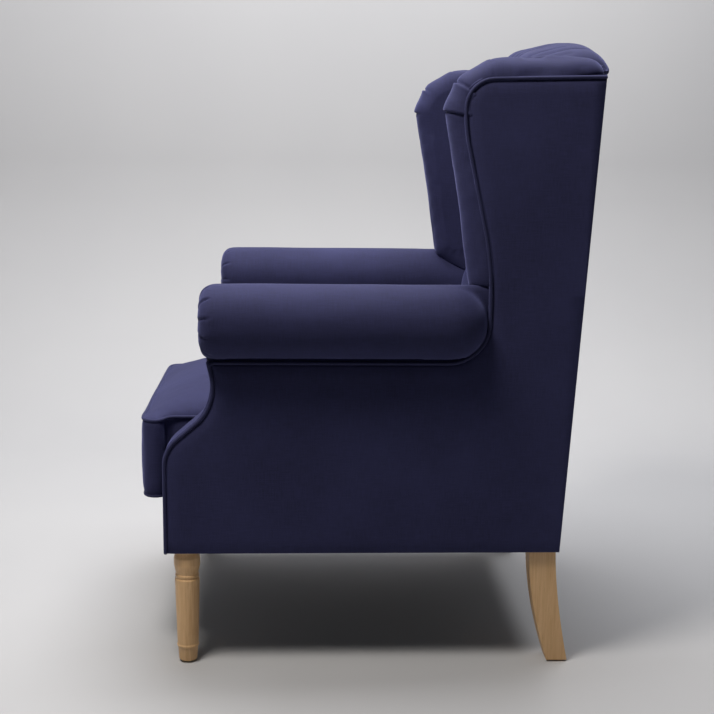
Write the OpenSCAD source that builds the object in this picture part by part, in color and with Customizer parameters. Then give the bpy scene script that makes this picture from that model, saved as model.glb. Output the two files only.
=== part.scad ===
// Wing armchair: hardwood frame, sprung seat, loose T-shaped seat cushion, rolled arms,
// padded wings, a buttoned inside back, turned front legs and sabre rear legs.
// +Z up, the front of the chair faces -Y, the origin is on the floor at the centre of its box.

/* [Overall] */
// Clear width between the inside faces of the arms
seat_w = 470; // [400:5:600]
// Depth from the cushion front to the rear of the top roll
depth = 794; // [660:2:956]
// Height of the underside of the base above the floor
leg_h = 203; // [160:1:250]
// Height of the arm tops above the underside of the base
arm_rise = 464; // [385:1:560]
// Height of the side panel tops above the underside of the base
panel_rise = 804; // [670:1:966]
// Height of the middle of the crest above the side panel tops
crest_rise = 69; // [55:1:85]

/* [Base and sides] */
// Thickness of a side, from the inside face to the outside panel
side_t = 75; // [62:1:92]
// How far the cushion stands in front of the base
overhang = 50; // [30:1:65]
// How far the upper arm front is set back behind the base front
arm_setback = 73; // [50:1:90]
// Backward lean of the outside back, in degrees
rake = 3.14; // [2:0.02:4]
// Height of the seat rails
rail_h = 56; // [45:1:68]
// Thickness of the seat rails
rail_t = 28; // [22:1:34]

/* [Arms and wings] */
// Radius of the arm roll
roll_r = 64; // [53:1:77]
// How far the roll's axis is inside the outside panel
roll_in = 12; // [8:1:18]
// Rounding of the front end of the roll
roll_round = 26; // [18:1:40]
// Depth of the wing's outside panel from the outside back
wing_d = 133; // [115:1:160]
// How far the padded wing stands proud of the outside panel
wing_proud = 35; // [25:1:45]
// How far the wing's upper front stands in front of its foot
wing_step = 50; // [35:1:60]

/* [Seat cushion] */
// Height of the cushion border
border_h = 145; // [120:1:175]
// Height of the crown above the border
crown_h = 50; // [30:1:60]
// How far the cushion's ears pass the inside face of each arm
ear_w = 24; // [16:1:34]
// Clearance between the cushion and each arm
cushion_gap = 3; // [2:0.5:6]
// Diameter of the piping
pipe_d = 6; // [5:0.5:8]

/* [Legs] */
// Largest diameter of a turned front leg
leg_d = 46; // [38:1:56]
// Thickness of a rear leg from side to side
rear_leg_w = 40; // [32:1:46]
// How far a rear leg's foot sweeps backwards
sweep = 38; // [25:1:46]
// Diameter of the hanger bolts in the legs
bolt_d = 8; // [6:1:10]

/* [Hidden] */
$fn = 64;

// Materials
WOOD = "#c9b088";
OAK = "#b9935f";
NAVY = "#2a2a4a";
PIPING = "#232342";
FOAM = "#e8dfb8";
FELT = "#8a8880";
STEEL = "#9a9ca0";
BLACK = "#1c1c20";

// Clearances and thin layers
gap = 0.3;
skin = 3;
face_t = 8;
panel_t = 5.7;
back_t = 5.6;
pipe_r = pipe_d / 2;

// Widths, from the middle plane outwards
x_in = seat_w / 2;
x_out = x_in + side_t;
x_wood = x_in + 27;
x_panel = x_out - panel_t;
x_post = x_panel - gap;
roll_x = x_out - roll_in;

// Depths
y_front = -depth / 2;
y_base = y_front + overhang;
y_arm = y_base + arm_setback;
y_back = depth / 2 - 66;
y_rail = y_base + face_t;
y_wing = y_back - wing_d;
y_seat_rear = y_back - 141;
roll_front = y_arm - 11;
roll_rear = y_wing - roll_r - pipe_r - 0.6;

// Heights
z_wood = leg_h + 3;
z_rail = z_wood + rail_h;
z_spring = z_rail + 1.1;
z_deck = leg_h + 79;
z_arm = leg_h + arm_rise;
roll_z = z_arm - roll_r;
z_under = roll_z - roll_r - pipe_r - 0.6;
z_panel = leg_h + panel_rise;
z_crest = z_panel + crest_rise;
z_border = z_deck + border_h;
z_seam = z_border - pipe_r;
z_post_top = roll_z - 33;
z_arm_rail = z_post_top + 30;

// Outside back plane, and the front and rear faces of the back posts, at a height
function back_y(z) = y_back + (z - leg_h) * tan(rake);
post_d = 46;
function post_rear(z) = back_y(z) - back_t - gap;
function post_front(z) = post_rear(z) - post_d;

// Outline helpers: vertices [x, y, radius] become points with round corners
function unit(v) = v / norm(v);
function corner(a, b, c, r, n) =
    let (u = unit(a - b), v = unit(c - b), half = acos(u * v) / 2,
        mid = b + unit(u + v) * (r / sin(half)), p = b + u * (r / tan(half)) - mid,
        start = atan2(p[1], p[0]), side = cross(u, v) > 0 ? -1 : 1)
    [for (k = [0:n]) mid + r * [cos(start + side * (180 - 2 * half) * k / n),
        sin(start + side * (180 - 2 * half) * k / n)]];
function xy(p) = [p[0], p[1]];
function round_at(v, i, n) =
    let (m = len(v), b = v[i])
    b[2] == 0 ? [xy(b)] : corner(xy(v[(i + m - 1) % m]), xy(b), xy(v[(i + 1) % m]), b[2], n);
function rounded(v, n = 6) = [for (i = [0:len(v) - 1]) for (p = round_at(v, i, n)) p];

// A shape drawn in (y, z) and given a thickness from x0 to x1
module slab(x0, x1) translate([x0, 0, 0]) rotate([90, 0, 90])
    linear_extrude(height = x1 - x0) children();

// The same piece on the left or the right of the chair
module on_side(s) if (s < 0) mirror([1, 0, 0]) children(); else children();

// A round tube along a flat path, drawn in (x, y)
function along(p, i, closed) = let (m = len(p))
    unit(closed ? p[(i + 1) % m] - p[(i + m - 1) % m]
        : p[min(i + 1, m - 1)] - p[max(i - 1, 0)]);
module flat_tube(p, r, closed = false, sides = 8) {
    m = len(p);
    rings = [for (i = [0:m - 1]) let (t = along(p, i, closed))
        for (k = [0:sides - 1]) let (a = 360 * k / sides)
            [p[i][0] - t[1] * r * cos(a), p[i][1] + t[0] * r * cos(a), r * sin(a)]];
    last = closed ? m - 1 : m - 2;
    walls = [for (i = [0:last]) for (k = [0:sides - 1])
        let (j = (i + 1) % m, q = (k + 1) % sides)
        [i * sides + k, i * sides + q, j * sides + q, j * sides + k]];
    caps = closed ? [] : [[for (k = [sides - 1:-1:0]) k], [for (k = [0:sides - 1]) last * sides + sides + k]];
    polyhedron(points = rings, faces = concat(walls, caps), convexity = 6);
}

// ---- Outlines of the side, in (y, z) ----
// The arm front: straight up, a round shoulder, then a scoop that comes forward under the roll
arm_side_h = z_under - leg_h;
z_shoulder = leg_h + 0.548 * arm_side_h;
z_scoop = leg_h + 0.782 * arm_side_h;
y_scoop = y_base + 1.25 * arm_setback;
y_lip = y_arm + 2.5;
shoulder_r = 0.165 * arm_side_h;
scoop_r = 0.226 * arm_side_h;
function front_corners(z0) = [[y_base, z0, 0], [y_base, z_shoulder, shoulder_r], [y_scoop, z_scoop, scoop_r]];
function front_line(i, z0, z1) = rounded_open(inset(
    concat(front_corners(z0), [[y_lip, z_under, 0], [y_lip, z1, 0]]), i), 6);
function rounded_open(v, n = 6) = [for (i = [0:len(v) - 1])
    for (p = i == 0 || i == len(v) - 1 ? [xy(v[i])] : round_at(v, i, n)) p];

// Corners moved to the right of the way they run, with their radii changed to match
function right_of(a, b) = let (u = unit(b - a)) [u[1], -u[0]];
function inset(v, i) = let (last = len(v) - 1) [for (k = [0:last]) let (
    p = xy(v[k]), j = max(k, 1), l = min(k, last - 1),
    m = right_of(xy(v[j - 1]), xy(v[j])), n = right_of(xy(v[l]), xy(v[l + 1])),
    q = p + (m + n) * i / (1 + m * n))
    [q[0], q[1], v[k][2] == 0 ? 0 : v[k][2] + i * sign(cross(m, n))]];

// The seam line round the outside panel, inset by i, from the base front to the back top
wing_h = z_panel - z_arm;
y_wing_top = y_wing - wing_step;
seam_turn = 8;
function seam_line(i) = rounded_open(inset(concat(front_corners(leg_h), [
    [y_lip, z_under, seam_turn], [y_wing, z_under, roll_r + pipe_r + 0.6],
    [y_wing, z_arm + 0.10 * wing_h, 1.47 * wing_h], [y_wing_top, z_panel - 0.245 * wing_h, 0.73 * wing_h],
    [y_wing_top, z_panel - 6, 46], [back_y(z_panel), z_panel, 0]]), i));
function panel_line(i) = let (line = seam_line(i)) concat([[back_y(leg_h), leg_h]],
    [for (k = [0:len(line) - 2]) line[k]], [[back_y(z_panel - i), z_panel - i]]);

// The padded wing, proud of the seam line at the front and the top
z_wing_top = z_panel + wing_proud - 2;
wing_front_top = y_wing_top - wing_proud;
function wing_outline() = rounded([
    [y_wing - wing_proud + 2, roll_z, 0], [wing_front_top, z_panel - 45, 30],
    [wing_front_top + 24, z_panel + 2, 20], [wing_front_top + 74, z_wing_top - 2, 50],
    [back_y(z_panel) - 2, z_wing_top, 20], [back_y(z_panel) - 1, z_panel + 3, 0],
    [post_front(z_panel - 18), z_panel + 3, 0],
    [post_front(z_panel - 18) - gap, z_panel - 18, 0], [post_front(roll_z) - gap, roll_z, 0]], 5);

// ---- Frame ----
module post_profile() polygon([[post_front(z_wood), z_wood], [post_rear(z_wood), z_wood],
    [post_rear(z_panel - 18), z_panel - 18], [post_front(z_panel - 18), z_panel - 18]]);

screw_r = 2.5;
screw_len = 62;
z_lumbar = z_deck + 70;
lumbar_h = 50;
z_crest_rail = z_panel - 75;
lumbar_y = post_rear(z_lumbar) - rail_t;
crest_y = post_rear(z_crest_rail) - rail_t;
rear_rail_y = post_rear(z_wood) - rail_t;
SCREWS = concat(
    [for (dz = [14, rail_h - 14]) [y_rail + rail_t / 2, z_wood + dz]],
    [for (dz = [14, rail_h - 14]) [rear_rail_y + rail_t / 2, z_wood + dz]],
    [[lumbar_y + rail_t / 2, z_lumbar + 25]],
    [for (dz = [12, 38]) [crest_y + rail_t / 2, z_crest_rail + dz]]);
module screw_body(extra = 0) {
    translate([0, 0, -screw_len]) cylinder(r = screw_r + extra, h = screw_len, $fn = 24);
    translate([0, 0, -4]) cylinder(r1 = screw_r + extra, r2 = 5 + extra, h = 3 + extra, $fn = 24);
    translate([0, 0, -1]) cylinder(r = 5 + extra, h = 1, $fn = 24);
}
module screws(extra = 0) for (s = [-1, 1]) on_side(s) for (p = SCREWS)
    translate([x_post, p[0], p[1]]) rotate([0, 90, 0]) screw_body(extra);

leg_x = x_post - 20;
leg_y = y_base + 34;
rear_leg_y = post_front(z_wood);
bolt_len = 80;
glide_h = 3;
function bolt_places() = [[leg_x, leg_y], [leg_x, rear_leg_y + 24]];
module bolts(extra = 0) for (s = [-1, 1]) for (p = bolt_places())
    translate([s * p[0], p[1], z_wood - bolt_len / 2])
        cylinder(d = bolt_d + 2 * extra, h = bolt_len, $fn = 32);

module cross_rail(y, z, h) translate([-x_wood, y, z]) cube([2 * x_wood, rail_t, h]);
module front_seat_rail() color(WOOD) difference() {
    cross_rail(y_rail, z_wood, rail_h);
    screws(0.1);
}
module rear_seat_rail() color(WOOD) difference() {
    cross_rail(rear_rail_y, z_wood, rail_h);
    screws(0.1);
}
module side_seat_rail(s) color(WOOD) on_side(s) slab(x_wood, x_wood + rail_t)
    polygon([[post_back_face, z_wood], [post_front(z_wood), z_wood],
        [post_front(z_rail), z_rail], [post_back_face, z_rail]]);

post_back_face = y_arm + face_t + 50;
module front_post(s) color(WOOD) difference() {
    on_side(s) slab(x_wood, x_post)
        polygon(concat(front_line(face_t, z_wood, z_post_top),
            [[post_back_face, z_post_top], [post_back_face, z_wood]]));
    bolts(0.1);
    screws(0.1);
}
module back_post(s) color(WOOD) difference() {
    on_side(s) slab(x_wood, x_post) post_profile();
    bolts(0.1);
    screws(0.1);
}
module arm_rail(s) color(WOOD) on_side(s) slab(x_wood, x_post)
    polygon([[y_lip + face_t, z_post_top], [post_front(z_post_top), z_post_top],
        [post_front(z_arm_rail), z_arm_rail], [y_lip + face_t, z_arm_rail]]);

// The wing board stands on the arm rail and against the back post
wing_board_t = 18;
wing_x = x_wood + (x_post - x_wood) / 3;
wing_inset = 30;
z_board = z_panel - 22;
board_y0 = y_wing + 4;
board_y1 = wing_front_top + wing_inset + 12;
function board_y(z) = board_y0 + (z - z_arm_rail) * (board_y1 - board_y0) / (z_panel - 60 - z_arm_rail);
module wing_board() difference() {
    polygon([[board_y0, z_arm_rail], [board_y1, z_panel - 60],
        [wing_front_top + wing_inset + 50, z_board], [post_front(z_board), z_board],
        [post_front(z_arm_rail), z_arm_rail]]);
    polygon([[y_wing + 40, z_arm_rail + 50], [wing_front_top + wing_inset + 58, z_panel - 90],
        [post_front(z_panel) - 45, z_panel - 70], [post_front(z_arm_rail) - 40, z_arm_rail + 50]]);
}
module wing_frame(s) color(WOOD) on_side(s) slab(wing_x, wing_x + wing_board_t) wing_board();

// The crest rail's top edge follows the arch of the back
arch_drop = crest_rise - wing_proud + 4;
arch_r = (x_wood * x_wood + arch_drop * arch_drop) / (2 * arch_drop);
module arch(z_top, y0, y1) translate([0, y0, z_top - arch_r]) rotate([-90, 0, 0])
    cylinder(r = arch_r, h = y1 - y0, $fn = 180);
module crest_shape(g = 0) intersection() {
    translate([-x_wood, crest_y - g, z_crest_rail - g]) cube([2 * x_wood, rail_t + 2 * g, 140]);
    arch(z_crest - 40 + g, crest_y - 5, crest_y + rail_t + 5);
}
module crest_rail() color(WOOD) difference() {
    crest_shape();
    screws(0.1);
}
module lumbar_rail() color(WOOD) difference() {
    cross_rail(lumbar_y, z_lumbar, lumbar_h);
    screws(0.1);
}

block = 68;
module corner_block(y, dir) linear_extrude(height = 40)
    polygon([[x_wood, y], [x_wood - block, y], [x_wood, y + dir * block]]);
module corner_blocks() color(WOOD) for (s = [-1, 1]) on_side(s) translate([0, 0, z_wood]) {
    corner_block(y_rail + rail_t, 1);
    corner_block(rear_rail_y, -1);
}
module frame_screws() color(STEEL) screws();

// ---- Legs ----
// Half of the turned outline, as [height share, radius share] pairs with round beads between
module front_leg_shape() {
    r = leg_d / 2;
    h = z_wood;
    bead = 4.5;
    rotate_extrude($fn = 96) difference() {
        union() {
            polygon(rounded([[0, glide_h, 0], [0.68 * r, glide_h, 2], [0.76 * r, 0.125 * h, 0],
                [0.8 * r, 0.165 * h, 0], [0.93 * r, 0.735 * h, 3], [0.84 * r, 0.75 * h, 0],
                [0.84 * r, 0.785 * h, 0], [0.98 * r, 0.86 * h, 10], [0.98 * r, 0.925 * h, 8],
                [0.86 * r, 0.965 * h, 0], [0.86 * r, h, 0], [0, h, 0]], 5));
            translate([0.80 * r - bead, 0.148 * h]) circle(r = bead + 0.8, $fn = 32);
            translate([0.90 * r - bead, 0.768 * h]) circle(r = bead, $fn = 32);
            translate([0, 0.968 * h]) square([0.9 * r, leg_h - gap - 0.968 * h]);
        }
        translate([-20, -20]) square([20, h + 40]);
    }
}
module front_leg(s) color(OAK) difference() {
    translate([s * leg_x, leg_y, 0]) front_leg_shape();
    bolts(0.1);
    glides(0.1);
}
rear_leg_d = post_d - gap;
rear_foot_d = 36;
function leg_bend(z, k, p) = k * pow(1 - z / z_wood, p);
steps = 10;
module rear_leg(s) color(OAK) difference() {
    translate([s * leg_x, 0, 0]) slab(-rear_leg_w / 2, rear_leg_w / 2) polygon(concat(
        [for (k = [0:steps]) let (z = glide_h + (z_wood - glide_h) * k / steps)
            [rear_leg_y + leg_bend(z, sweep, 1.8), z]],
        [for (k = [steps:-1:0]) let (z = glide_h + (z_wood - glide_h) * k / steps)
            [rear_leg_y + rear_leg_d + leg_bend(z, sweep - rear_leg_d + rear_foot_d, 1.6), z]]));
    bolts(0.1);
    glides(0.1);
}
module leg_bolts() color(STEEL) bolts();
module glides(extra = 0) for (s = [-1, 1])
    for (y = [leg_y, rear_leg_y + leg_bend(glide_h, sweep, 1.8) + rear_foot_d / 2])
        translate([s * leg_x, y, 0]) {
            cylinder(r = 10, h = glide_h, $fn = 48);
            cylinder(r = 1.5 + extra, h = glide_h + 12 + extra, $fn = 24);
        }
module leg_glides() color(BLACK) glides();

// ---- Seat ----
spring_n = 5;
spring_pitch = (seat_w - 60) / spring_n;
wire = 3.8;
wave = 20;
spring_y0 = y_rail + 16;
spring_y1 = rear_rail_y + rail_t - 14;
waves = 12;
wave_l = (spring_y1 - spring_y0) / waves;
function wave_at(t) = [wave * sin(360 * t), spring_y0 + wave_l * t];
function wave_side(t, side) = let (d = unit(wave_at(t + 0.01) - wave_at(t - 0.01)))
    wave_at(t) + side * wire / 2 * [d[1], -d[0]];
wave_pts = 10;
module seat_springs() color(STEEL) for (i = [0:spring_n - 1])
    translate([(i - (spring_n - 1) / 2) * spring_pitch, 0, z_spring])
        linear_extrude(height = wire) polygon(concat(
            [for (k = [0:waves * wave_pts]) wave_side(k / wave_pts, 1)],
            [for (k = [waves * wave_pts:-1:0]) wave_side(k / wave_pts, -1)]));
clip_l = 14;
clip_back = clip_l / 2 - 1 - wire / 2 - gap;
module clip() translate([-9, -clip_l / 2, 0]) rotate([90, 0, 90]) linear_extrude(height = 18) difference() {
    square([clip_l, 6]);
    translate([-1, 1]) square([clip_l, wire + 0.2]);
}
module spring_clips() color(STEEL) for (i = [0:spring_n - 1])
    translate([(i - (spring_n - 1) / 2) * spring_pitch, 0, z_rail]) {
        translate([0, spring_y0 + clip_back, 0]) rotate([0, 0, 180]) clip();
        translate([0, spring_y1 - clip_back, 0]) clip();
    }
module spring_pad() color(FELT) translate([-x_in + 3, y_rail + 6, z_rail + 6 + gap])
    cube([seat_w - 6, y_seat_rear + 90 - y_rail - 6, 2.6]);
deck_z0 = z_rail + 6 + 2 * gap + 2.6;
module seat_deck() color(NAVY) translate([-x_in + gap, y_rail, deck_z0])
    cube([seat_w - 2 * gap, y_seat_rear + 88 - y_rail, z_deck - gap - deck_z0]);
module dust_cover() color(BLACK) difference() {
    translate([-x_post + 1, y_rail + 1, leg_h + 0.6])
        cube([2 * x_post - 2, post_rear(z_wood) - y_rail - 2, 2]);
    for (s = [-1, 1]) {
        translate([s * leg_x, leg_y, 0]) cylinder(r = leg_d / 2 + 1, h = z_wood + 5);
        translate([s * leg_x - rear_leg_w / 2 - 1, rear_leg_y - 1, 0])
            cube([rear_leg_w + 2, rear_leg_d + 6, z_wood + 5]);
    }
}

// The cushion's outline is a T: a body between the arms and ears in front of them
cush_in = x_in - cushion_gap;
ear_x = x_in + ear_w;
ear_y = y_base - 2;
ear_r = 0.55 * (overhang - 2);
ear_rear_r = 0.2 * (overhang - 2);
function t_outline(i) = rounded([
    [-ear_x + i, y_front + i, ear_r - i], [ear_x - i, y_front + i, ear_r - i],
    [ear_x - i, ear_y - i, ear_rear_r - i / 2], [cush_in - i, ear_y - i, 4 + i / 2],
    [cush_in - i, y_seat_rear - i, 22 - i], [-cush_in + i, y_seat_rear - i, 22 - i],
    [-cush_in + i, ear_y - i, 4 + i / 2], [-ear_x + i, ear_y - i, ear_rear_r - i / 2]], 5);
crown_rx = (ear_x * ear_x + crown_h * crown_h) / (2 * crown_h);
cush_mid = (y_front + y_seat_rear) / 2;
cush_half = (y_seat_rear - y_front) / 2;
crown_ry = (cush_half * cush_half + crown_h * crown_h) / (2 * crown_h);
border_in = pipe_d + gap;
module cushion_solid(i) intersection() {
    translate([0, 0, z_deck + i]) linear_extrude(height = border_h + crown_h)
        polygon(t_outline(border_in + i));
    translate([0, y_front - 20, z_border + crown_h - i - crown_rx]) rotate([-90, 0, 0])
        cylinder(r = crown_rx, h = depth + 40, $fn = 180);
    translate([-ear_x - 20, cush_mid, z_border + crown_h - i - crown_ry]) rotate([0, 90, 0])
        cylinder(r = crown_ry, h = 2 * ear_x + 40, $fn = 180);
}
zip_w = seat_w - 120;
zip_z = z_deck + border_h / 2;
zip_y = y_seat_rear - border_in;
module cushion_cover() color(NAVY) difference() {
    cushion_solid(0);
    cushion_solid(skin);
    translate([-zip_w / 2 - 1, zip_y - 1.6, zip_z - 6]) cube([zip_w + 2, 3, 12]);
}
module cushion_foam() color(FOAM) cushion_solid(skin + gap);
module cushion_piping_top() color(PIPING) translate([0, 0, z_seam])
    flat_tube(t_outline(pipe_r), pipe_r, true);
module cushion_piping_bottom() color(PIPING) translate([0, 0, z_deck + pipe_r])
    flat_tube(t_outline(pipe_r), pipe_r, true);
module cushion_zip() color(BLACK) {
    translate([-zip_w / 2, zip_y - 1.5, zip_z - 5.5]) cube([zip_w, 0.9, 11]);
    translate([-zip_w / 2 + 4, zip_y - 0.6, zip_z - 2]) cube([zip_w - 8, 1, 4]);
}
// The slider rides over the teeth, its pin carries the pull
slider_l = 9;
slider_x = zip_w / 2 - 12;
pin_r = 1.2;
module zip_slider() color(STEEL) translate([slider_x, zip_y, zip_z]) {
    difference() {
        translate([-slider_l / 2, -0.5, -4]) cube([slider_l, 2.2, 8]);
        translate([-slider_l, -1, -2 - gap]) cube([2 * slider_l, 1.4 + gap, 4 + 2 * gap]);
    }
    translate([0, 1.7, 0]) rotate([-90, 0, 0]) cylinder(r = pin_r, h = 1.9, $fn = 32);
    translate([0, 3.4, 0]) rotate([-90, 0, 0]) cylinder(r = pin_r + 0.7, h = 0.6, $fn = 32);
}
module zip_pull() color(STEEL) translate([slider_x, zip_y + 2, zip_z]) rotate([-90, 0, 0])
    linear_extrude(height = 1.1) difference() {
        union() {
            circle(r = 3, $fn = 32);
            translate([-2, 0]) square([4, 15]);
            translate([0, 15]) circle(r = 3, $fn = 32);
        }
        circle(r = pin_r + 0.08, $fn = 32);
        translate([0, 15]) circle(r = 1.4, $fn = 32);
    }

// ---- Back ----
z_pad0 = z_deck + 3;
pad_y0 = y_seat_rear + 2;
pad_y1 = back_y(z_panel) - 124;
module back_section(i) polygon(rounded([
    [pad_y0 + i, z_pad0 + i, 0], [pad_y1 + i, z_crest - 20 - i, 46 - i],
    [pad_y1 + 88, z_crest + 2 - i, 110], [depth / 2 - i, z_crest - i, 36 - i],
    [depth / 2 - i, z_panel + 8 + i, 8 - i / 2], [back_y(z_panel) + 1, z_panel + 8 + i, 0],
    [back_y(z_panel) - 20, z_panel + 8 + i, 0], [post_front(z_panel) - 1, z_panel - 8 + i, 0],
    [post_front(z_pad0) - 12 - i, z_pad0 + i, 0]], 5));
module back_solid(i, w) intersection() {
    slab(-w, w) back_section(i);
    arch(z_crest - i, y_front, depth);
}
web_n = 5;
web_t = 2;
module back_cover() color(NAVY) difference() {
    back_solid(0, x_in - gap);
    back_solid(skin, x_in - gap - skin);
    crest_shape(gap);
    buttons(0.4);
}
module back_foam() color(FOAM) difference() {
    back_solid(skin + gap, x_in - 2 * gap - skin);
    crest_shape(gap);
    buttons(0.4);
}
web_w = 50;
web_pitch = 0.187 * seat_w;
function web_line(out) = [[lumbar_y - out, z_lumbar], [lumbar_y - out, z_lumbar + lumbar_h],
    [crest_y - out, z_crest_rail], [crest_y - out, z_crest_rail + 40]];
module back_webbing() color(BLACK) for (i = [0:web_n - 1])
    translate([(i - (web_n - 1) / 2) * web_pitch - web_w / 2, 0, 0])
        slab(0, web_w) polygon(concat(web_line(gap + web_t), rev(web_line(gap))));
button_r = 11;
rows = 4;
row_h = 0.15 * panel_rise;
z_row0 = z_border + 105;
function face_y(z) = pad_y0 + (z - z_pad0) * (pad_y1 - pad_y0) / (z_crest - 20 - z_pad0);
module buttons(extra = 0) for (r = [0:rows - 1]) {
    n = r % 2 == 0 ? 3 : 4;
    z = z_row0 + r * row_h;
    for (k = [0:n - 1]) translate([(k - (n - 1) / 2) * seat_w / 4, face_y(z) - 3, z])
        rotate([-90, 0, 0]) {
            cylinder(r = button_r + extra, h = 7 + extra, $fn = 40);
            translate([0, 0, 6]) cylinder(r = 1.5 + extra, h = 24, $fn = 20);
        }
}
module back_buttons() color(NAVY) buttons();
module outside_back() color(NAVY) slab(-x_panel + gap, x_panel - gap) polygon([
    [back_y(leg_h) - back_t, leg_h], [back_y(leg_h), leg_h],
    [back_y(z_panel - pipe_d), z_panel - pipe_d], [back_y(z_panel - pipe_d) - back_t, z_panel - pipe_d]]);
module back_piping() color(PIPING) translate([-x_panel + 1, back_y(z_panel) - pipe_r, z_panel - pipe_r + gap])
    rotate([0, 90, 0]) cylinder(r = pipe_r - gap, h = 2 * x_panel - 2, $fn = 32);

// ---- Arms and wings ----
module roll_solid(i) {
    r = roll_r - i;
    f = roll_round - i;
    translate([roll_x, roll_front + i, roll_z]) rotate([-90, 0, 0])
        rotate_extrude($fn = 96) difference() {
            union() {
                translate([0, f]) square([r, roll_rear - roll_front - i - f]);
                square([r - f, f + 1]);
                translate([r - f, f]) circle(r = f, $fn = 64);
            }
            translate([-300, -10]) square([300, 2000]);
        }
    translate([roll_x, roll_rear, roll_z]) sphere(r = r, $fn = 96);
    intersection() {
        translate([roll_x, roll_rear, roll_z]) rotate([-90, 0, 0])
            cylinder(r = r, h = post_front(roll_z - roll_r) - gap - i - roll_rear, $fn = 96);
        translate([x_in, roll_rear, roll_z - 100]) cube([x_post - x_in, 900, 200]);
    }
}
module arm_slab(i) slab(x_in + i, x_wood) polygon(concat(
    front_line(face_t + gap + i, z_rail + gap + i, roll_z),
    [[post_front(roll_z) - gap - i, roll_z], [post_front(z_rail) - gap - i, z_rail + gap + i]]));
module arm_wood() {
    slab(x_wood - gap, x_post + gap) polygon(concat(
        front_line(face_t - gap, z_wood - 1, z_post_top + 1),
        [[post_back_face + gap, z_post_top + 1], [post_back_face + gap, z_wood - 1]]));
    slab(x_wood - gap, x_post + gap) polygon([[y_lip + face_t - gap, z_post_top - gap],
        [depth, z_post_top - gap], [depth, z_arm_rail + gap], [y_lip + face_t - gap, z_arm_rail + gap]]);
    translate([wing_x - gap, board_y(z_arm) - 1, z_post_top]) cube([wing_board_t + 2 * gap, 400, 200]);
}
// Room below the roll's flat underside for the outside panel and the posts
module below_roll() translate([x_wood, y_base, 0]) cube([200, depth * 2, roll_z - roll_r]);
module arm_cover(s) color(NAVY) on_side(s) difference() {
    union() {
        roll_solid(0);
        arm_slab(0);
    }
    roll_solid(skin);
    arm_slab(skin);
    arm_wood();
    below_roll();
}
module arm_foam(s) color(FOAM) on_side(s) difference() {
    union() {
        roll_solid(skin + gap);
        arm_slab(skin + gap);
    }
    arm_wood();
}
module arm_facing(s) color(NAVY) on_side(s) difference() {
    slab(x_in, x_post) polygon(concat(
        front_line(0, leg_h, roll_z), rev(front_line(face_t - gap, leg_h, roll_z))));
    translate([roll_x, roll_front - 5, roll_z]) rotate([-90, 0, 0])
        cylinder(r = roll_r + gap, h = 60, $fn = 96);
}
function rev(v) = [for (i = [len(v) - 1:-1:0]) v[i]];
module wing_pad(s) color(NAVY) on_side(s) difference() {
    slab(x_in, x_post) polygon(wing_outline());
    translate([roll_x, roll_front, roll_z]) rotate([-90, 0, 0])
        cylinder(r = roll_r + gap, h = depth * 2, $fn = 96);
    slab(wing_x - gap, wing_x + wing_board_t + gap) polygon([[y_wing + 3, roll_z - 10],
        [wing_front_top + wing_inset + 11, z_panel - 60],
        [wing_front_top + wing_inset + 49, z_board + gap], [depth, z_board + gap], [depth, roll_z - 10]]);
    translate([x_in - 1, y_wing - 100, roll_z - 50]) cube([x_wood + 2 - x_in, 500, 50 + gap]);
}
module side_panel(s) color(NAVY) on_side(s) slab(x_panel, x_out)
    polygon(panel_line(pipe_r + gap));
module side_piping(s) color(PIPING) on_side(s) translate([x_out - pipe_r + 0.8, 0, 0])
    rotate([90, 0, 90]) flat_tube(seam_line(0), pipe_r);
module front_border() color(NAVY) translate([-x_in + gap, y_base, leg_h])
    cube([seat_w - 2 * gap, face_t - gap, z_deck - 1.5 - leg_h]);

front_seat_rail();
rear_seat_rail();
side_seat_rail(-1);  // side_seat_rail_left
side_seat_rail(1);  // side_seat_rail_right
front_post(-1);  // front_post_left
front_post(1);  // front_post_right
back_post(-1);  // back_post_left
back_post(1);  // back_post_right
arm_rail(-1);  // arm_rail_left
arm_rail(1);  // arm_rail_right
wing_frame(-1);  // wing_frame_left
wing_frame(1);  // wing_frame_right
crest_rail();
lumbar_rail();
corner_blocks();
frame_screws();
front_leg(-1);  // front_leg_left
front_leg(1);  // front_leg_right
rear_leg(-1);  // rear_leg_left
rear_leg(1);  // rear_leg_right
leg_bolts();
leg_glides();
seat_springs();
spring_clips();
spring_pad();
seat_deck();
dust_cover();
cushion_foam();
cushion_cover();
cushion_piping_top();
cushion_piping_bottom();
cushion_zip();
zip_slider();
zip_pull();
back_webbing();
back_foam();
back_cover();
back_buttons();
outside_back();
back_piping();
arm_foam(-1);  // arm_foam_left
arm_foam(1);  // arm_foam_right
arm_cover(-1);  // arm_cover_left
arm_cover(1);  // arm_cover_right
arm_facing(-1);  // arm_facing_left
arm_facing(1);  // arm_facing_right
wing_pad(-1);  // wing_pad_left
wing_pad(1);  // wing_pad_right
side_panel(-1);  // side_panel_left
side_panel(1);  // side_panel_right
side_piping(-1);  // side_piping_left
side_piping(1);  // side_piping_right
front_border();
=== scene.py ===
import math

import bmesh
import bpy
import numpy as np
from mathutils import Matrix, Vector, noise
from mathutils.bvhtree import BVHTree


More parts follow.
